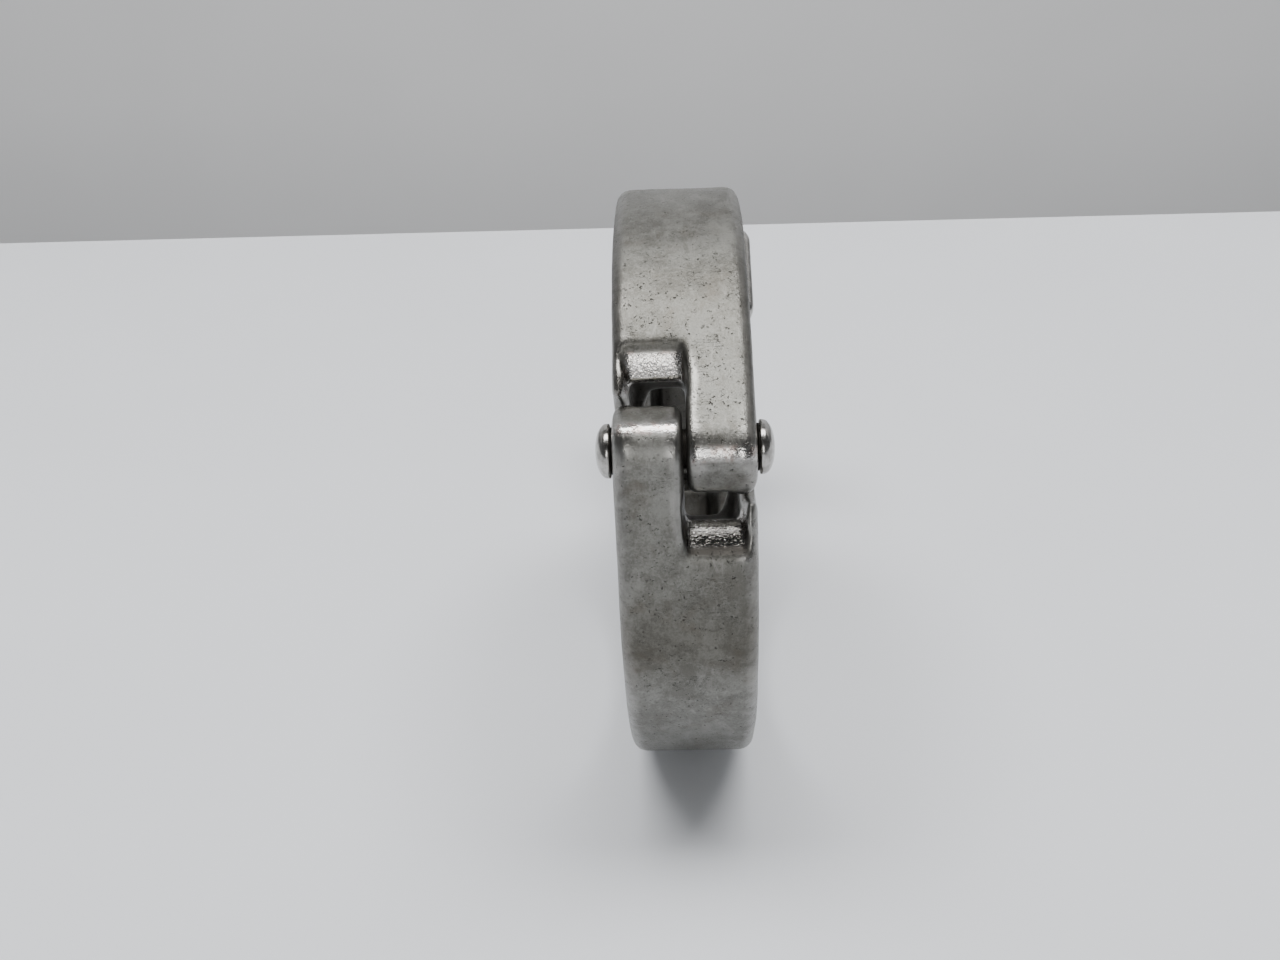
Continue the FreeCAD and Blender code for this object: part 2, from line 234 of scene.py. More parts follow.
def castingNodes(t):
    v = castingFinish
    place = t.upright()
    polish = t.attribute("polish")
    edge = t.attribute("edge")
    hollow = t.attribute("hollow")
    paintedShade = t.attribute("paintedShade")
    bandShade = t.attribute("bandShade")
    clouds = t.noise(place, v["cloudScale"], 4.0, 0.6, 0.6)
    mottle = t.noise(place, v["mottleScale"], 4.0, 0.62, 0.4)
    grain = t.noise(place, v["grainScale"], 3.0, 0.65)
    fine = t.noise(place, v["fineScale"], 2.0, 0.6)
    smear = t.noise(t.upright((0.9, 0.28, 0.28), (4, 9, 2)), 0.6, 4.0, 0.6, 1.2)
    patchy = (clouds * 0.45 + mottle * 0.30 + grain * 0.25).spread(0.40, 0.61)
    colour = t.mix(patchy, v["dark"], v["pale"])
    colour = t.mix(smear.spread(0.54, 0.72) * 0.35, colour, v["bright"])
    stained = t.noise(place, v["stainScale"], 3.0, 0.6, 0.5).spread(0.52, 0.75) * (0.3 + hollow * 0.5)
    colour = t.mix(stained.clamped(), colour, v["stain"])
    worn = (edge * (0.55 + mottle * 0.9) * (1 - paintedShade)).spread(0.45, 1.15)
    colour = t.mix(worn * 0.55, colour, v["bright"])
    shine = polish.clamped()
    colour = t.mix(shine, colour, t.mix(grain.spread(0.35, 0.6), v["polishedDark"], v["polishedBright"]))
    rust = (shine * (1 - shine) * 3.0) * t.noise(place, 0.8, 2.0).spread(0.5, 0.62)
    colour = t.mix((rust * 0.5).clamped(), colour, v["rust"])
    # dirt in the hollows, together with the painted shade
    dirtAndShade = (hollow * (0.55 + mottle) + paintedShade).clamped()
    # painted glints: spots on the polished face where the painted shade is left off
    paintedGlint = t.noise(place, v["paintedGlintScale"], 2.0, 0.6).spread(0.58, 0.68)
    colour = t.mix(dirtAndShade * (1 - shine * (paintedGlint * 0.8 + 0.15)), colour, v["paintedShade"])
    bent = t.add("ShaderNodeVectorMath", {"operation": "MULTIPLY_ADD"},
                 {0: t.add("ShaderNodeTexNoise", None, {"Vector": place, "Scale": 2.2}, "Color"),
                  1: (0.9, 0.9, 0.9), 2: place})
    specks = 1 - t.cells(bent, v["speckScale"]).spread(0.07, 0.17)
    specks = specks * t.noise(place, 0.5, 2.0).spread(0.47, 0.58)
    tiny = 1 - t.cells(bent, v["tinyScale"]).spread(0.10, 0.30)
    tiny = tiny * t.noise(place, 0.8, 3.0).spread(0.46, 0.60)
    pits = (specks + tiny * 0.8).clamped() * (1 - shine * 0.8)
    colour = t.mix(pits * 0.62, colour, v["speck"])
    lineNoise = t.noise(t.upright((0.35, 2.6, 2.6), (1, 5, 3)), 1.1, 2.0, 0.5, 2.2)
    scratch = 1 - (lineNoise - 0.5).math("ABSOLUTE").spread(0.0, 0.012)
    scratch = scratch * t.noise(place, 0.3, 2.0).spread(0.54, 0.64) * (1 - shine)
    colour = t.mix(scratch * 0.5, colour, v["speck"])
    # bands of painted shade round the ring
    colour = t.mix(bandShade, colour, v["bandShadeColour"], "MULTIPLY")
    rough = v["roughness"] + (mottle - 0.5) * 0.22 + (clouds - 0.5) * 0.2
    rough = rough - worn * (v["roughness"] - v["wornRoughness"])
    rough = rough * (1 - shine) + shine * (v["polishedRoughness"] + (grain - 0.5) * 0.08)
    rough = rough + pits * 0.25 + dirtAndShade * 0.1
    peel = t.noise(place, v["peelScale"], 2.0, 0.6)
    height = (grain * 0.38 + fine * 0.25 + mottle * 0.55) * (1 - shine * 0.85) - pits * 0.9 - scratch * 0.5
    height = height + peel * shine * 1.3
    bump = t.add("ShaderNodeBump", None, {"Height": height, "Strength": 1.0, "Distance": v["relief"]})
    return {"Base Color": colour, "Metallic": 1.0, "Roughness": rough.clamped(), "Normal": bump}


turnedFinish = {
    "pale": (0.43, 0.42, 0.40),
    "dark": (0.24, 0.23, 0.215),
    # painted shade on the rivet's shank between its heads, which shows in the gap between the lugs
    "shank": (0.035, 0.032, 0.028),
    "speck": (0.06, 0.055, 0.05),
    "headStart": 8.2,           # from the ring's middle plane
    "roughness": 0.21,
    "relief": 0.00003,
}


def turnedNodes(t):
    v = turnedFinish
    place = t.upright()
    mottle = t.noise(place, 1.1, 4.0, 0.6, 0.4)
    rings = t.noise(t.upright((6.0, 0.4, 0.4)), 1.6, 2.0, 0.5)
    colour = t.mix((mottle * 0.7 + rings * 0.3).spread(0.36, 0.62), v["dark"], v["pale"])
    pits = (1 - t.cells(place, 1.9).spread(0.06, 0.16)) * t.noise(place, 0.9, 2.0).spread(0.5, 0.62)
    colour = t.mix(pits * 0.6, colour, v["speck"])
    # painted shade on the shank between the heads
    across = t.add("ShaderNodeSeparateXYZ", None, {0: place}, "X").math("ABSOLUTE")
    shadedShank = 1 - across.spread(v["headStart"], v["headStart"] + 0.25)
    colour = t.mix(shadedShank, colour, v["shank"])
    rough = v["roughness"] + (mottle - 0.5) * 0.2 + pits * 0.2 + shadedShank * 0.4
    height = mottle * 0.5 + t.noise(place, 4.5, 2.0) * 0.15 - pits * 0.5
    bump = t.add("ShaderNodeBump", None, {"Height": height, "Strength": 0.6, "Distance": v["relief"]})
    return {"Base Color": colour, "Metallic": 1.0, "Roughness": rough.clamped(), "Normal": bump}


boltFinish = {
    "pale": (0.45, 0.44, 0.42),
    "dark": (0.23, 0.22, 0.205),
    "root": (0.08, 0.072, 0.06),        # between the threads
    "roughness": 0.3,
    "relief": 0.00004,
}


def boltNodes(t):
    v = boltFinish
    place = t.upright()
    root = t.attribute("hollow")
    mottle = t.noise(place, 0.9, 4.0, 0.6, 0.3)
    colour = t.mix(mottle.spread(0.38, 0.6), v["dark"], v["pale"])
    colour = t.mix((root * 0.7).clamped(), colour, v["root"])
    rough = v["roughness"] + (mottle - 0.5) * 0.3 + root * 0.2
    height = mottle * 0.5 + t.noise(place, 5.0, 2.0) * 0.4
    bump = t.add("ShaderNodeBump", None, {"Height": height, "Strength": 0.7, "Distance": v["relief"]})
    return {"Base Color": colour, "Metallic": 1.0, "Roughness": rough.clamped(), "Normal": bump}


nutFinish = {
    "pale": (0.40, 0.39, 0.37),
    "dark": (0.22, 0.21, 0.195),
    "worn": (0.52, 0.51, 0.49),
    "hollowColour": (0.10, 0.09, 0.078),
    "roughness": 0.34,
    "relief": 0.00005,
}


def nutNodes(t):
    v = nutFinish
    place = t.upright()
    edge = t.attribute("edge")
    hollow = t.attribute("hollow")
    mottle = t.noise(place, 0.5, 5.0, 0.62, 0.5)
    grain = t.noise(place, 3.6, 2.0, 0.6)
    colour = t.mix((mottle * 0.75 + grain * 0.25).spread(0.38, 0.62), v["dark"], v["pale"])
    colour = t.mix((edge * (0.5 + mottle)).clamped() * 0.6, colour, v["worn"])
    # darker in the nut's hollows
    colour = t.mix((hollow * 0.6).clamped(), colour, v["hollowColour"])
    rough = v["roughness"] + (mottle - 0.5) * 0.26 - edge * 0.1 + hollow * 0.15
    height = mottle * 0.45 + grain * 0.4
    bump = t.add("ShaderNodeBump", None, {"Height": height, "Strength": 0.8, "Distance": v["relief"]})
    return {"Base Color": colour, "Metallic": 1.0, "Roughness": rough.clamped(), "Normal": bump}


castStainless = makeFinish("castStainless", castingNodes)
turnedSteel = makeFinish("turnedSteel", turnedNodes)
boltSteel = makeFinish("boltSteel", boltNodes)
nutSteel = makeFinish("nutSteel", nutNodes)
print("finishes made")


# Solid shapes held as distances on a grid, so that edges can be rounded as tumbling rounds them
fieldValues = {
    "castingBand": 3.0,         # how far from the surface distances are held
    "fastenerBand": 2.0,
    "corrections": 3,           # how often the surface's points are moved onto the rounded shape
    "flattest": 0.2,            # the least squared slope that is trusted
    "reach": 2.6,               # of a blur, in its own widths
}


class Field:
    def __init__(self, node, cell, band):
        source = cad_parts[node].data
        points = np.zeros(len(source.vertices) * 3, np.float32)
        source.vertices.foreach_get("co", points)
        points = points.reshape(-1, 3) / mm
        source.calc_loop_triangles()
        faces = np.zeros(len(source.loop_triangles) * 3, np.int32)
        source.loop_triangles.foreach_get("vertices", faces)
        kept, index = np.unique(np.round(points, 4), axis=0, return_inverse=True)
        faces = index.reshape(-1)[faces].reshape(-1, 3)
        whole = (faces[:, 0] != faces[:, 1]) & (faces[:, 1] != faces[:, 2]) & (faces[:, 2] != faces[:, 0])
        self.cell = cell
        self.transform = openvdb.createLinearTransform(voxelSize=cell)
        grid = openvdb.FloatGrid.createLevelSetFromPolygons(
            kept.astype(np.float32), triangles=faces[whole].astype(np.uint32),
            transform=self.transform, halfWidth=band / cell)
        pad = int(band / cell) + 2
        self.start = np.floor(kept.min(axis=0) / cell).astype(int) - pad
        size = np.ceil(kept.max(axis=0) / cell).astype(int) + pad - self.start
        self.values = np.zeros(tuple(size), np.float32)
        grid.copyToArray(self.values, ijk=tuple(int(i) for i in self.start))
        self.band = band

    def places(self):
        axes = [(np.arange(n) + s) * self.cell for n, s in zip(self.values.shape, self.start)]
        x = axes[0][:, None, None].astype(np.float32)
        low = axes[1][None, :, None]
        up = axes[2][None, None, :]
        y = (low * math.cos(roll) - up * math.sin(roll)).astype(np.float32)
        z = (low * math.sin(roll) + up * math.cos(roll)).astype(np.float32)
        return x, y, z

    def at(self, points, values):
        place = points / self.cell - self.start
        low = np.clip(np.floor(place).astype(int), 0, np.array(values.shape) - 2)
        part = place - low
        total = np.zeros(len(points))
        for corner in np.ndindex(2, 2, 2):
            weight = np.ones(len(points))
            for axis in range(3):
                weight = weight * (part[:, axis] if corner[axis] else 1 - part[:, axis])
            index = low + np.array(corner)
            total += weight * values[index[:, 0], index[:, 1], index[:, 2]]
        return total

    def surface(self):
        grid = openvdb.FloatGrid()
        grid.background = self.band
        grid.transform = self.transform
        grid.copyFromArray(self.values, ijk=tuple(int(i) for i in self.start))
        points, quads = grid.convertToQuads(isovalue=0.0)
        points = points.astype(float)
        for turn in range(fieldValues["corrections"]):
            value = self.at(points, self.values)
            slope = np.stack([self.at(points + step, self.values) - self.at(points - step, self.values)
                              for step in np.eye(3) * self.cell * 0.5], axis=1) / self.cell
            steepness = np.maximum((slope ** 2).sum(axis=1), fieldValues["flattest"])
            points -= slope * (value / steepness)[:, None]
        return points, quads


def blurred(values, width):
    reach = max(1, int(math.ceil(width * fieldValues["reach"])))
    weights = np.exp(-0.5 * (np.arange(-reach, reach + 1) / width) ** 2)
    weights = (weights / weights.sum()).astype(np.float32)
    for axis in range(3):
        padding = [(0, 0)] * 3
        padding[axis] = (reach, reach)
        wide = np.pad(values, padding, mode="edge")
        length = values.shape[axis]
        total = np.zeros_like(values)
        for i, weight in enumerate(weights):
            cut = [slice(None)] * 3
            cut[axis] = slice(i, i + length)
            total += weight * wide[tuple(cut)]
        values = total
    return values


def lumps(shape, cell, size, seed):
    random = np.random.default_rng(seed)
    coarse = [max(4, int(n * cell / size) + 4) for n in shape]
    values = random.standard_normal(coarse).astype(np.float32)
    for axis, n in enumerate(shape):
        place = np.arange(n) * cell / size + 1
        low = place.astype(int)
        part = (place - low).astype(np.float32)
        part = part * part * (3 - 2 * part)
        view = [None, None, None]
        view[axis] = slice(None)
        values = (np.take(values, low, axis=axis) * (1 - part[tuple(view)])
                  + np.take(values, low + 1, axis=axis) * part[tuple(view)])
    return values


def addAttribute(piece, name, value):
    layer = piece.data.attributes.new(name, "FLOAT", "POINT")
    layer.data.foreach_set("value", np.clip(value, 0, 1).astype(np.float32))


castingValues = {
    "cell": 0.31,
    "rounding": 0.34,             # everywhere
    "hingeRounding": 0.42,        # round the recess and the lug
    "hingeReach": 17.0,           # from the hinge pin
    "hingeBlend": 3.0,
    "holeMargin": 0.1,
    "lip": (-35.55, -8.4),        # the recess's inner lip
    "lipStart": (-35.92, -9.4),   # where the facet along the lip starts
    "lipTilt": 23.0,              # degrees
    "lipSide": 6.3,               # from the middle plane
    "lipFront": -33.0,            # the facet stays in front of this
    "lipHeights": (-10.0, -6.0),
    "lipRounding": 0.28,
    "lipReach": (1.035, 2.3),
    "lipInside": (-0.6, 0.4),
    "lugFlat": 56.0,              # degrees, of the flatter top of the lug's end
    "lugFlatRadius": 4.58,
    "lugFlatStart": (0.8, 0.5),   # behind and above the hinge pin
    "lumpSize": 7.0,
    "lumpDepth": 0.045,
    "lumpLevel": 0.5,             # a higher level leaves fewer flat stretches between the lumps
    "rippleSize": 1.8,
    "rippleDepth": 0.02,
    "rippleLevel": 0.3,
    "tallest": 3,
    "wearReach": 1.0,             # how wide a bend counts as an edge or a hollow
    "edgeBend": 0.32,
    "hollowBend": 0.30,
}
# Marks that the finish reads. Each pair is where a mark starts to change and where it has changed.
castingMarks = {
    "sunk": (0.10, 0.4),          # below the ring's rim
    "acrossGap": (-0.3, 0.1),     # from the middle plane to the recess's side
    "hingeSide": (-29.0, -27.0),
    "belowParting": (0.0, 1.0),
    "recessFoot": (0.6, 1.3),     # above the recess's far end
    "recessBack": (-35.2, -34.5),
    "recessNear": (6.6, 7.4),     # below the parting plane
    "recessSide": (6.3, 6.9),
    "faceNear": (9.1, 9.5),       # the recess's face below its bright lip, darkened with painted shade
    "faceFar": (12.0, 12.5),
    "faceSide": (6.6, 7.2),
    "lugSideways": (-1.2, -0.2),
    "lugBand": 0.4,               # how far the band on the lug's end fades
    "lugRound": (6.2, 7.0),       # from the hinge pin
    "lugFront": (-39.5, -38.0),
    "lugPolish": 0.6,
    "grooveSide": (5.0, 5.6),
    "grooveRadius": (33.7, 34.2),
    "grooveShade": 0.5,
    "boreRadius": (29.3, 30.2),
    "boreShade": 0.35,
    "notchRound": (8.3, 8.8),     # from the hinge pin
    "notchBack": (-35.4, -34.6),
    "notchSide": (5.9, 6.4),
    "notchShade": 0.75,
    "gapStart": (-0.75, -0.35),
    "gapEnd": (0.0, 0.4),
    "gapRound": (7.0, 8.5),       # from the hinge pin
}


def rising(span, value):
    return smoothStep(*span, value)


def falling(span, value):
    return 1 - smoothStep(*span, value)


def drilled(y, z, pin):
    return np.hypot(y - pin["y"], z - pin["z"]) - pin["radius"]


def facetAt(start, tilt, y, z):
    return (start[0] - y) * math.cos(tilt) + (z - start[1]) * math.sin(tilt)


def castingShape(values, cell, x, y, z, pins, seed):
    v = castingValues
    hingeY = clampValues["hingeY"]
    for pin in pins:               # holes are filled, and cut again once the edges are rounded
        for low, high in pin["through"]:
            ends = np.maximum(low - x, x - high)
            values = np.minimum(values, np.maximum(drilled(y, z, pin) - v["holeMargin"], ends))
    facet = facetAt(v["lipStart"], math.radians(v["lipTilt"]), y, z)
    low, high = v["lipHeights"]
    atLip = (x > 0) & (x < v["lipSide"]) & (y < v["lipFront"]) & (z > low) & (z < high)
    values = np.where(atLip, np.maximum(values, facet), values)
    facet = facetAt((hingeY, 0), math.radians(v["lugFlat"]), y, z) - v["lugFlatRadius"]
    behind, above = v["lugFlatStart"]
    atLug = (x < 0) & (z > above) & (y < hingeY + behind)
    values = np.where(atLug, np.maximum(values, facet), values)
    nearHinge = falling((v["hingeReach"] - v["hingeBlend"], v["hingeReach"]), np.hypot(y - hingeY, z))
    fromLip = np.hypot(y - v["lip"][0], z - v["lip"][1])
    nearLip = falling(v["lipReach"], fromLip) * rising(v["lipInside"], x)
    even = blurred(values, v["rounding"] / cell)
    soft = blurred(values, v["hingeRounding"] / cell)
    lip = blurred(values, v["lipRounding"] / cell)
    values = even * (1 - nearHinge) + soft * nearHinge
    values = values * (1 - nearLip) + lip * nearLip
    coarse = lumps(values.shape, cell, v["lumpSize"], seed)
    fine = lumps(values.shape, cell, v["rippleSize"], seed + 1)
    hollows = np.clip(coarse + v["lumpLevel"], 0, v["tallest"]) * v["lumpDepth"]
    hollows = hollows + np.clip(fine + v["rippleLevel"], 0, v["tallest"]) * v["rippleDepth"]
    return values + hollows


def castingPolish(x, y, z, fromPin, sunk, besideLug, lugShine):
    m = castingMarks
    recess = sunk * besideLug * rising(tuple(rise - clampValues["recessTop"] for rise in m["recessFoot"]), z)
    recess = recess * falling(m["recessBack"], y) * rising(m["recessNear"], -z) * falling(m["recessSide"], x)
    low, high = lugShine
    fade = m["lugBand"]
    lugEnd = falling(m["lugSideways"], x) * rising((low - fade, low + fade), z)
    lugEnd = lugEnd * falling((high - fade, high + fade), z)
    lugEnd = lugEnd * falling(m["lugRound"], fromPin) * falling(m["lugFront"], y)
    return np.maximum(recess, lugEnd * m["lugPolish"])


# Painted shade: the groove, the bore, the hollows beside the lugs and the gap between the lugs are darkened,
# and on the lower half also the recess's face below its lip.
def castingShade(x, y, z, fromPin, sunk, besideLug, shadedRecessFace):
    m = castingMarks
    radius = np.hypot(y, z)
    groove = falling(m["grooveSide"], np.abs(x)) * falling(m["grooveRadius"], radius)
    bore = falling(m["boreRadius"], radius)
    notch = besideLug * falling(m["notchRound"], fromPin) * rising(m["notchBack"], y)
    notch = notch * falling(m["notchSide"], x)
    gap = rising(m["gapStart"], x) * falling(m["gapEnd"], x) * falling(m["gapRound"], fromPin)
    shaded = np.maximum(groove * m["grooveShade"], bore * m["boreShade"])
    shaded = np.maximum(shaded, np.maximum(notch * m["notchShade"], gap))
    # painted shade on the lower half's recess face
    if shadedRecessFace:
        face = sunk * besideLug * rising(m["faceNear"], -z) * falling(m["faceFar"], -z)
        face = face * falling(m["recessBack"], y) * falling(m["faceSide"], x)
        shaded = np.maximum(shaded, face)
    return shaded


# Both halves are the same way up here: the upper one is turned half round about Y, so that its hinge side
# is described by the same values.
def makeCasting(node, turned, pins, lugShine, shadeBands, seed):
    v = castingValues
    m = castingMarks
    field = Field(node, v["cell"], fieldValues["castingBand"])
    x, y, z = field.places()
    if turned:
        x, z = -x, -z
    values = castingShape(field.values, v["cell"], x, y, z, pins, seed)
    wide = blurred(values, v["wearReach"] / v["cell"])
    for pin in pins:
        values = np.maximum(values, -drilled(y, z, pin))
    field.values = values
    points, quads = field.surface()
    piece = meshObject(node + "Casting", points * mm, quads, castStainless)
    bend = field.at(points, wide)
    addAttribute(piece, "edge", bend / v["edgeBend"])
    addAttribute(piece, "hollow", -bend / v["hollowBend"])
    upright = points @ standArray
    if turned:
        upright = upright * np.array([-1, 1, -1])
    x, y, z = upright.T
    fromPin = np.hypot(y - clampValues["hingeY"], z)
    sunk = rising(m["sunk"], clampValues["ringRadius"] - np.hypot(y, z))
    besideLug = rising(m["acrossGap"], x) * falling(m["hingeSide"], y) * falling(m["belowParting"], z)
    addAttribute(piece, "polish", castingPolish(x, y, z, fromPin, sunk, besideLug, lugShine))
    # painted shade; the recess's face below its lip is darkened on the lower half only
    addAttribute(piece, "paintedShade", castingShade(x, y, z, fromPin, sunk, besideLug, not turned))
    # bands of painted shade, placed by their angle from the hinge
    angle = np.degrees(np.arctan2(z, -y)) * (-1 if turned else 1)        # from the hinge, upwards
    addAttribute(piece, "bandShade", sum(depth * np.exp(-((angle - middle) / width) ** 2)
                                    for middle, width, depth in shadeBands))
    mounted(piece, node)
    print(node, len(quads), "quads")


hingePin = {"y": clampValues["hingeY"], "z": 0.0, "radius": 2.3, "through": [(-8.1, -0.15)]}
boltPin = {
    "y": clampValues["boltStart"][0],
    "z": clampValues["boltStart"][1],
    "radius": 2.52,
    "through": [(-8.1, -4.4), (4.4, 8.1)],
}
# A band of painted shade is its middle and its width, in degrees from the hinge, and its depth.
halfValues = {
    "lowerShine": (1.5, 2.6),
    "lowerShadeBands": [(-35, 9, 0.85), (-15, 15, 0.3)],
    "lowerSeed": 3,
    "upperShine": (0.3, 1.8),
    "upperShadeBands": [(14, 20, 0.5), (30, 10, 0.3), (50, 16, 0.35)],
    "upperSeed": 8,
}
makeCasting("lower_half", False, [hingePin, boltPin], halfValues["lowerShine"], halfValues["lowerShadeBands"],
            halfValues["lowerSeed"])
makeCasting("upper_half", True, [hingePin], halfValues["upperShine"], halfValues["upperShadeBands"],
            halfValues["upperSeed"])


# Bolt, nut and washer
fastenerValues = {
    "boltCell": 0.20,
    "nutCell": 0.22,
    "washerCell": 0.15,
    "boltRounding": 0.22,
    "nutRounding": 0.42,
    "washerRounding": 0.14,
    "threadStart": 14.5,        # from the bolt's pivot
    "threadEnd": 54.0,
    "threadRadius": 3.95,
    "threadDepth": 0.80,
    "pitch": 1.411,
    "pointLength": 0.9,
    "crest": 0.16,              # the part of a turn that stays at full radius
    "slope": 0.70,              # the part of a turn that both flanks take up
    "runOut": 1.6,              # turns until the thread has its full depth
    "hidden": 1.5,              # how far the thread's shell starts inside the plain shank
    "around": 49,
    "rowsEachTurn": 12,
    "wearReach": 0.7,
    "wearBend": 0.22,
}
lean = math.radians(clampValues["boltLean"])
boltTurn = stand @ Matrix.Rotation(-lean, 3, "X")
boltPivot = (stand @ Vector((0, *clampValues["boltStart"]))) * mm
boltPlace = Matrix.Translation(boltPivot) @ boltTurn.to_4x4()


def alongBolt(y, z):
    startY, startZ = clampValues["boltStart"]
    return (y - startY) * math.sin(lean) + (z - startZ) * math.cos(lean)


def makeTumbled(node, cell, rounding, material, cutAlong=None):
    field = Field(node, cell, fieldValues["fastenerBand"])
    values = blurred(field.values, rounding / cell)
    if cutAlong is not None:
        x, y, z = field.places()
        values = np.maximum(values, alongBolt(y, z) - cutAlong)
    field.values = values
    points, quads = field.surface()
    piece = meshObject(node + "Piece", points * mm, quads, material)
    wide = blurred(values, fastenerValues["wearReach"] / cell)
    bend = field.at(points, wide) / fastenerValues["wearBend"]
    addAttribute(piece, "edge", bend)
    addAttribute(piece, "hollow", -bend)
    print(node, len(quads), "quads")
    return piece


# A grid's X runs once round the rod and its Y runs along it, and its two end rows close to a point.
def threadTree(material):
    tree = bpy.data.node_groups.new("rolledThread", "GeometryNodeTree")
    for name, kind in (("Length", "Float"), ("Pitch", "Float"), ("Radius", "Float"), ("Depth", "Float"),
                       ("Point", "Float"), ("Around", "Int"), ("Rows", "Int")):
        tree.interface.new_socket(name, in_out="INPUT", socket_type="NodeSocket" + kind)
    tree.interface.new_socket("Mesh", in_out="OUTPUT", socket_type="NodeSocketGeometry")
    v = fastenerValues
    t = Tree(tree)
    inputs = {item.name: t.add("NodeGroupInput", None, None, item.name)
              for item in tree.interface.items_tree if item.in_out == "INPUT"}
    grid = t.add("GeometryNodeMeshGrid", None, {"Size X": 1.0, "Size Y": 1.0, "Vertices X": inputs["Around"],
                                                "Vertices Y": inputs["Rows"]})
    spot = t.add("GeometryNodeInputPosition")
    around = (t.add("ShaderNodeSeparateXYZ", None, {0: spot}, "X") + 0.5).clamped()
    up = (t.add("ShaderNodeSeparateXYZ", None, {0: spot}, "Y") + 0.5).clamped()
    height = up * inputs["Length"]
    phase = (height / inputs["Pitch"] - around + 2.0).math("FRACT")        # 2 keeps it above zero
    flank = ((phase - 0.5).math("ABSOLUTE") * 2.0 - v["crest"]).math("DIVIDE", v["slope"], clamp=True)
    runOut = (height / (inputs["Pitch"] * v["runOut"])).clamped()
    radius = inputs["Radius"] - flank * inputs["Depth"] * runOut
    point = inputs["Length"] - height + inputs["Radius"] - inputs["Point"]
    radius = radius.math("MINIMUM", point)
    inside = up.math("GREATER_THAN", 0.00001) * up.math("LESS_THAN", 0.99999)      # closes both ends
    radius = radius * inside
    angle = around * (2 * math.pi)
    place = t.add("ShaderNodeCombineXYZ", None, {0: radius * angle.math("COSINE"),
                                                 1: radius * angle.math("SINE"), 2: height})
    rod = t.add("GeometryNodeSetPosition", None, {"Geometry": grid, "Position": place})
    root = t.add("GeometryNodeStoreNamedAttribute", {"data_type": "FLOAT", "domain": "POINT"},
                 {"Geometry": rod, "Name": "hollow", "Value": flank * runOut})
    rod = t.add("GeometryNodeMergeByDistance", None, {"Geometry": root, "Distance": 0.000002})
    rod = t.add("GeometryNodeSetShadeSmooth", None, {"Geometry": rod})
    rod = t.add("GeometryNodeRealizeInstances", None, {"Geometry": rod})
    rod = t.add("GeometryNodeSetMaterial", None, {"Geometry": rod, "Material": material})
    t.add("NodeGroupOutput", None, {"Mesh": rod})
    return tree


def fromTree(name, source, tree, values):
    modifier = source.modifiers.new("nodes", "NODES")
    modifier.node_group = tree
    for item in tree.interface.items_tree:
        if item.in_out == "INPUT" and item.name in values:
            modifier[item.identifier] = values[item.name]
    bpy.context.view_layer.update()
    graph = bpy.context.evaluated_depsgraph_get()
    data = bpy.data.meshes.new_from_object(source.evaluated_get(graph))
    source.modifiers.remove(modifier)
    bpy.data.objects.remove(source)
    data.name = name
    piece = bpy.data.objects.new(name, data)
    bpy.context.scene.collection.objects.link(piece)
    return piece


def facingOut(piece):
    shape = bmesh.new()
    shape.from_mesh(piece.data)
    bmesh.ops.remove_doubles(shape, verts=shape.verts, dist=0.000001)
    bmesh.ops.recalc_face_normals(shape, faces=shape.faces)
    shape.to_mesh(piece.data)
    shape.free()


def joined(name, *pieces):
    with bpy.context.temp_override(active_object=pieces[0], selected_editable_objects=list(pieces)):
        bpy.ops.object.join()
    pieces[0].name = name
    return pieces[0]


def emptySource(name):
    source = bpy.data.objects.new(name, bpy.data.meshes.new(name))
    bpy.context.scene.collection.objects.link(source)
    return source


def makeBolt():
    v = fastenerValues
    eye = makeTumbled("swing_bolt", v["boltCell"], v["boltRounding"], boltSteel, v["threadStart"])
    length = v["threadEnd"] - v["threadStart"] + v["hidden"]
    rows = int(length / v["pitch"] * v["rowsEachTurn"])
    thread = fromTree("thread", emptySource("threadSource"), threadTree(boltSteel), {
        "Length": length * mm, "Pitch": v["pitch"] * mm, "Radius": v["threadRadius"] * mm,
        "Depth": v["threadDepth"] * mm, "Point": v["pointLength"] * mm, "Around": v["around"], "Rows": rows})
    thread.data.transform(boltPlace @ Matrix.Translation((0, 0, (v["threadStart"] - v["hidden"]) * mm)))
    facingOut(thread)
    bolt = joined("swingBolt", eye, thread)
    mounted(bolt, "swing_bolt")


makeBolt()
nut = makeTumbled("wing_nut", fastenerValues["nutCell"], fastenerValues["nutRounding"], nutSteel)
mounted(nut, "wing_nut")
washer = makeTumbled("seat_washer", fastenerValues["washerCell"], fastenerValues["washerRounding"], boltSteel)
mounted(washer, "seat_washer")


# Rivets: turned shapes whose heads stand on a small collar
rivetValues = {
    "hinge_pin": {"shank": 2.25, "collar": 2.7, "collarHeight": 0.25, "headHeight": 1.7, "lip": 0.28},
    "bolt_pin": {"shank": 2.5, "collar": 2.7, "collarHeight": 0.25, "headHeight": 1.5, "lip": 0.28},
    "fullness": 2.15,           # 2 is a half ellipse
    "rim": ((0.08, 0.0), (0.02, 0.06), (0.0, 0.12)),      # height and inset of its turn inwards
    "crown": 0.002,             # the dome's open middle, as a part of its radius
    "step": 0.01,               # keeps two points in the profile from falling together
    "around": 64,
    "steps": 22,
}


# Points along the rivet's axis, each with its radius, from one head to the other
def rivetProfile(low, high, headRadius, v, shared):
    steps = shared["steps"]
    head = []
    domeHeight = v["headHeight"] - v["lip"]
    for i in range(steps + 1):
        t = math.sin(i / steps * math.pi / 2)                  # from the crown out to the rim
        rise = (1 - t ** shared["fullness"]) ** (1 / shared["fullness"])
        head.append((v["lip"] + domeHeight * rise, headRadius * max(t, shared["crown"])))
    head += [(height, headRadius - inset) for height, inset in shared["rim"]]
    head.append((-shared["step"], v["collar"]))
    head.append((-v["collarHeight"], v["collar"]))
    head.append((-v["collarHeight"] - shared["step"], v["shank"]))
    left = [(low + v["headHeight"] - out, radius) for out, radius in head]
    right = [(high - v["headHeight"] + out, radius) for out, radius in reversed(head)]
    return left + right


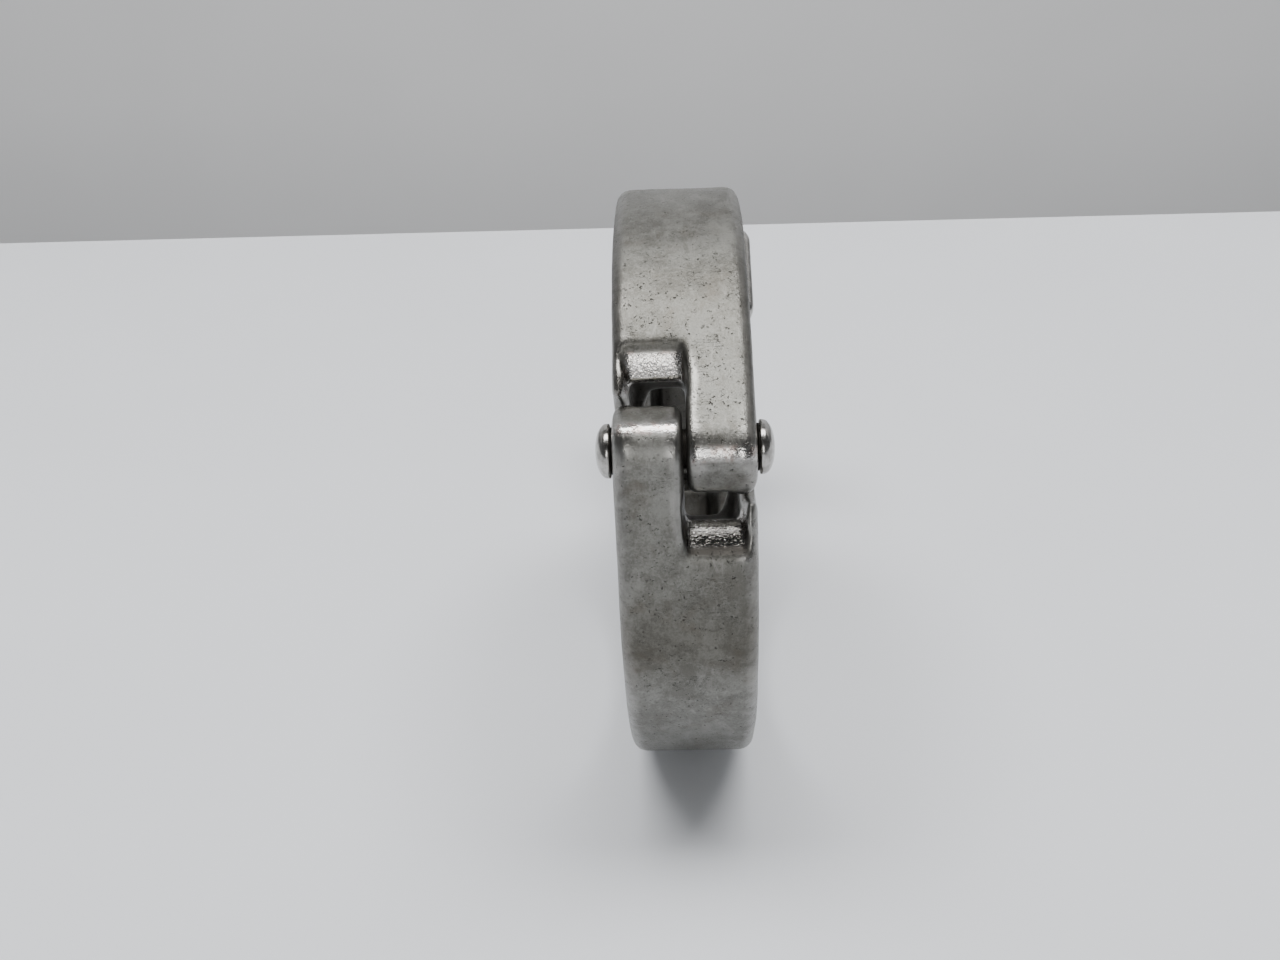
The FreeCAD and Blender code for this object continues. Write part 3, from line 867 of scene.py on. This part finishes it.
# A circle is swept along the profile, at the radius that each of its points carries.
def turnedTree(material):
    tree = bpy.data.node_groups.new("turnedProfile", "GeometryNodeTree")
    tree.interface.new_socket("Profile", in_out="INPUT", socket_type="NodeSocketGeometry")
    tree.interface.new_socket("Around", in_out="INPUT", socket_type="NodeSocketInt")
    tree.interface.new_socket("Mesh", in_out="OUTPUT", socket_type="NodeSocketGeometry")
    t = Tree(tree)
    profile = t.add("NodeGroupInput", None, None, "Profile")
    around = t.add("NodeGroupInput", None, None, "Around")
    circle = t.add("GeometryNodeCurvePrimitiveCircle", None, {"Resolution": around, "Radius": 1.0})
    radius = t.add("GeometryNodeInputRadius")
    body = t.add("GeometryNodeCurveToMesh", None, {"Curve": profile, "Profile Curve": circle, "Scale": radius,
                                                   "Fill Caps": True})
    body = t.add("GeometryNodeSetShadeSmooth", None, {"Geometry": body})
    body = t.add("GeometryNodeRealizeInstances", None, {"Geometry": body})
    body = t.add("GeometryNodeSetMaterial", None, {"Geometry": body, "Material": material})
    t.add("NodeGroupOutput", None, {"Mesh": body})
    return tree


def makeRivet(node, tree, shared):
    v = shared[node]
    low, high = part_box(node)
    centre = (low + high) / 2
    profile = rivetProfile(low.x / mm, high.x / mm, (high.y - low.y) / 2 / mm, v, shared)
    data = bpy.data.curves.new(node, "CURVE")
    data.dimensions = "3D"
    line = data.splines.new("POLY")
    line.points.add(len(profile) - 1)
    for point, (x, radius) in zip(line.points, profile):
        point.co = (x * mm, centre.y, centre.z, 1)
        point.radius = radius * mm
    source = bpy.data.objects.new(node, data)
    bpy.context.scene.collection.objects.link(source)
    rivet = fromTree(node + "Rivet", source, tree, {"Around": shared["around"]})
    facingOut(rivet)
    mounted(rivet, node)


rivetTree = turnedTree(turnedSteel)
for rivetNode in ("hinge_pin", "bolt_pin"):
    makeRivet(rivetNode, rivetTree, rivetValues)
print("fasteners made")

# Camera: it looks along the ring's own plane from the hinge side.
cameraValues = {
    "distance": 0.1785,         # from the bore's centre
    "elevation": 29.36,         # degrees above the floor
    "lens": 35.29,
    "sensor": 36.0,
    "centreX": 0.0352,          # where the bore's centre stands in the frame, as a part of its width
    "centreY": 0.0081,
    "roll": 1.7,                # degrees
    "clipStart": 0.01,
    "clipEnd": 20,
}


def makeCamera(v):
    data = bpy.data.cameras.new("camera")
    data.lens = v["lens"]
    data.sensor_width = v["sensor"]
    data.clip_start = v["clipStart"]
    data.clip_end = v["clipEnd"]
    camera = bpy.data.objects.new("camera", data)
    bpy.context.scene.collection.objects.link(camera)
    up = math.radians(v["elevation"])
    back = Vector((0, -math.cos(up), math.sin(up)))
    camera.location = back * v["distance"]
    lookAt = (-back).to_track_quat("-Z", "Y").to_matrix()
    scale = v["sensor"] / v["lens"]
    turn = Matrix.Rotation(math.atan(v["centreX"] * scale), 3, "Y")
    tilt = Matrix.Rotation(-math.atan(v["centreY"] * scale), 3, "X")
    spin = Matrix.Rotation(math.radians(-v["roll"]), 3, "Z")
    camera.rotation_euler = (lookAt @ spin @ turn @ tilt).to_euler()
    bpy.context.scene.camera = camera


makeCamera(cameraValues)

# Table, wall and light
stageValues = {
    "tableBack": 0.2245,
    "tableSkew": 0.036,         # how far the back edge comes nearer for each step to the right
    "tableReach": 3.0,
    "tableColour": (0.745, 0.762, 0.795),
    "tableRoughness": 0.6,
    "wallY": 0.75,
    "wallLow": -0.9,
    "wallHigh": 1.6,
    "wallColour": (0.94, 0.945, 0.955),
    "wallRoughness": 0.8,
}


def plainNodes(colour, rough):
    def build(t):
        place = t.add("ShaderNodeTexCoord", None, None, "Object")
        soft = t.noise(place, 9.0, 3.0, 0.5)
        return {"Base Color": t.mix(soft.spread(0.3, 0.7), tuple(c * 0.97 for c in colour), colour),
                "Roughness": rough}
    return build


def makeSheet(name, corners, material):
    return meshObject(name, np.array(corners), np.array([(0, 1, 2, 3)]), material)


def makeStage(v):
    level = cadBox[0].z
    reach = v["tableReach"]
    back = v["tableBack"]
    skew = reach * v["tableSkew"]
    low = v["wallLow"]
    high = v["wallHigh"]
    tableTop = makeFinish("tableTop", plainNodes(v["tableColour"], v["tableRoughness"]))
    table = makeSheet("table", [(-reach, -reach, level), (reach, -reach, level),
                                (reach, back - skew, level), (-reach, back + skew, level)], tableTop)
    wallPaint = makeFinish("wallPaint", plainNodes(v["wallColour"], v["wallRoughness"]))
    wall = makeSheet("wall", [(-reach, v["wallY"], low), (reach, v["wallY"], low),
                              (reach, v["wallY"], high), (-reach, v["wallY"], high)], wallPaint)


makeStage(stageValues)

lightValues = {
    "overhead": {"place": (0, 0.01, 0.95), "aim": (0, 0, 0), "size": (1.1, 0.40), "power": 16.6},
    "window": {"place": (0, -1.3, 0.42), "aim": (0, 0, 0.02), "size": (0.5, 0.5), "power": 4.5},
    "leftFill": {"place": (-1.1, 0.5, 0.8), "aim": (0, 0, 0), "size": (0.7, 0.8), "power": 0.9},
    "rightFill": {"place": (1.1, 0.5, 0.8), "aim": (0, 0, 0), "size": (0.7, 0.8), "power": 1.6},
}


def makeLight(name, v):
    data = bpy.data.lights.new(name, "AREA")
    data.shape = "RECTANGLE"
    data.size, data.size_y = v["size"]
    data.energy = v["power"]
    lamp = bpy.data.objects.new(name, data)
    lamp.location = v["place"]
    lamp.rotation_euler = (Vector(v["aim"]) - Vector(v["place"])).to_track_quat("-Z", "Y").to_euler()
    bpy.context.scene.collection.objects.link(lamp)


for lightName, lightSettings in lightValues.items():
    makeLight(lightName, lightSettings)

roomValues = {
    "low": (0.62, 0.63, 0.65),
    "high": (0.10, 0.10, 0.105),
    "fade": (0.35, 0.9),        # from the low colour to the high one, as heights on a unit sphere
    "strength": 0.22,
}
world = bpy.data.worlds.new("room")
bpy.context.scene.world = world
world.use_nodes = True
room = Tree(world.node_tree)
direction = room.add("ShaderNodeTexCoord", None, None, "Generated")
height = room.add("ShaderNodeSeparateXYZ", None, {"Vector": direction}, "Z")
sky = room.mix(height.spread(*roomValues["fade"]), roomValues["low"], roomValues["high"])
shine = room.add("ShaderNodeBackground", None, {"Color": sky, "Strength": roomValues["strength"]})
room.add("ShaderNodeOutputWorld", None, {"Surface": shine})
print("stage and light ready")
